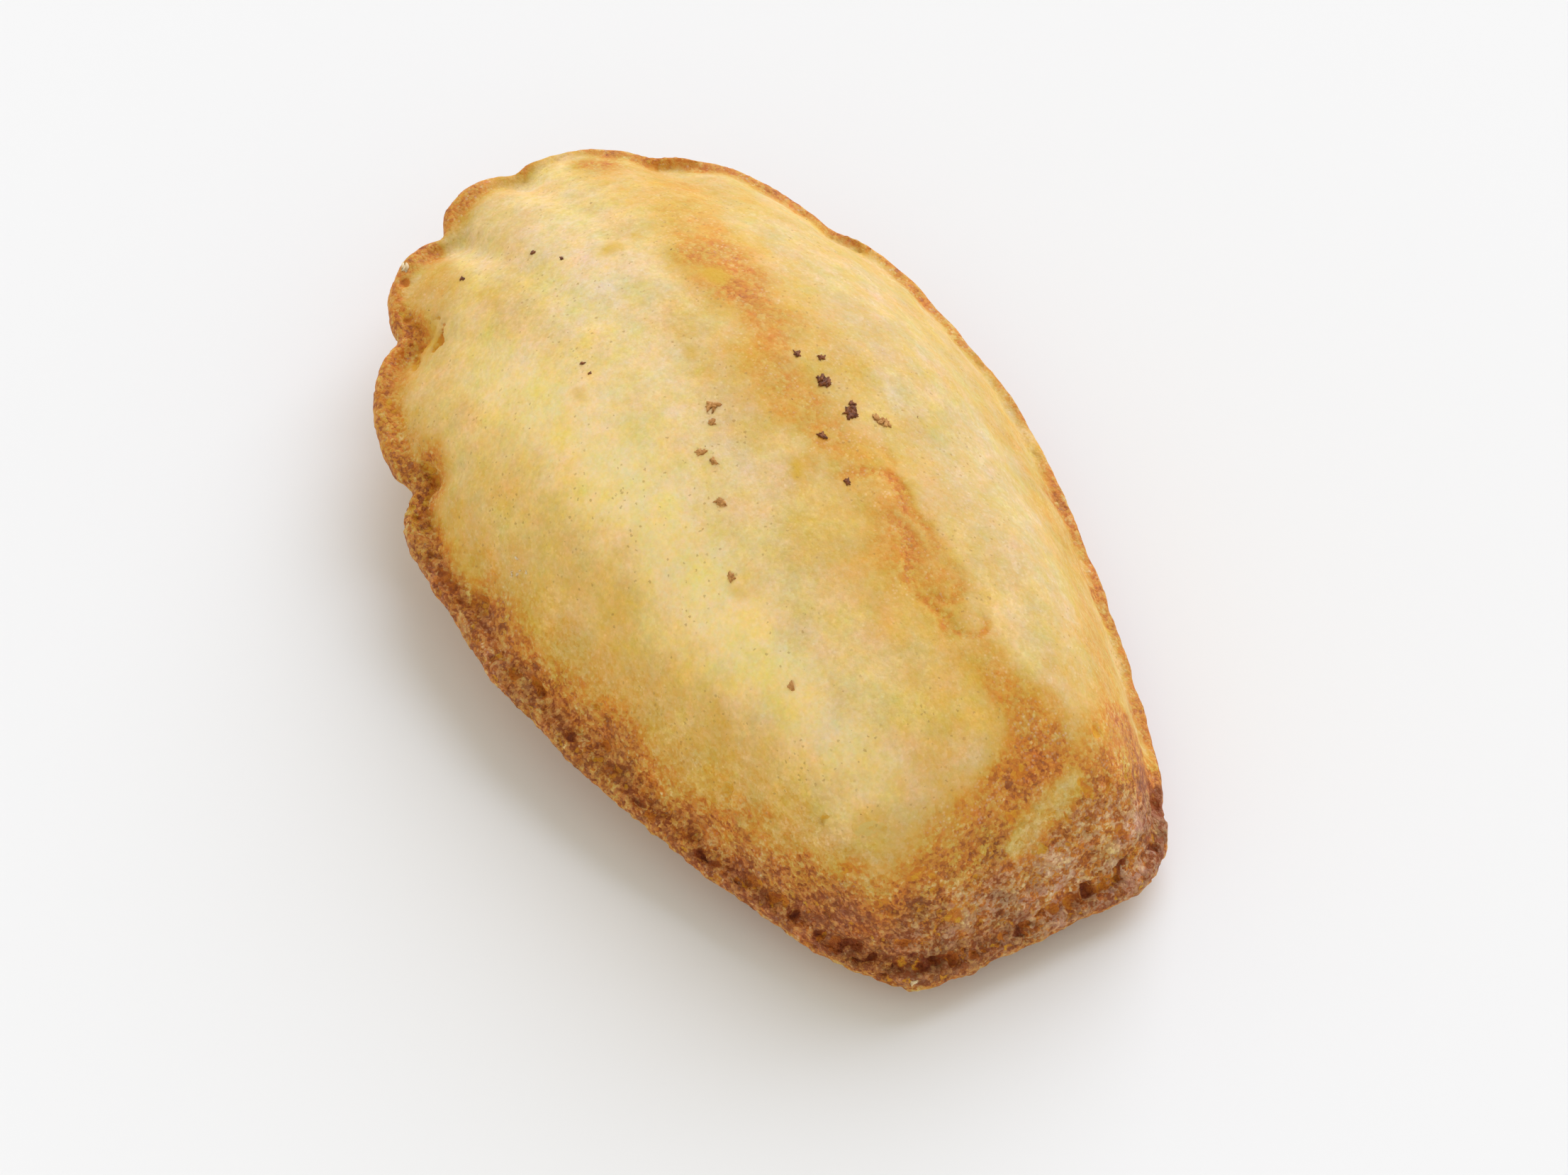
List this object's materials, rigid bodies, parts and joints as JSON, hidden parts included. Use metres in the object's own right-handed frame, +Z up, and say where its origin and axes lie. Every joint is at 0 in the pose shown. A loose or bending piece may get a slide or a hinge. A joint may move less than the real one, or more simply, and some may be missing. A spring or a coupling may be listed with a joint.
{
  "type": "madeleine cake",
  "caption": "Small shell-shaped sponge cake, ribbed side up, with a scalloped wide end, a blunt narrow end, a browned lip and a baked hump beneath that it rests on.",
  "frame": {"origin": "middle of the cake's footprint, on the surface it rests on", "axes": "+X towards the narrow end, +Y across the cake, +Z up out of the ribbed shell"},
  "size_m": [0.078, 0.047, 0.0217],
  "materials": {
    "crust": "dry baked sponge crust, pale gold on top, honey brown along one rib, darker brown at the lip and the narrow end",
    "dark_crumb": "scorched crumb, dark brown and rough",
    "pale_crumb": "loose baked crumb, tan and rough"
  },
  "bodies": {
    "root": {"cake": "crust"}
  },
  "joints": []
}
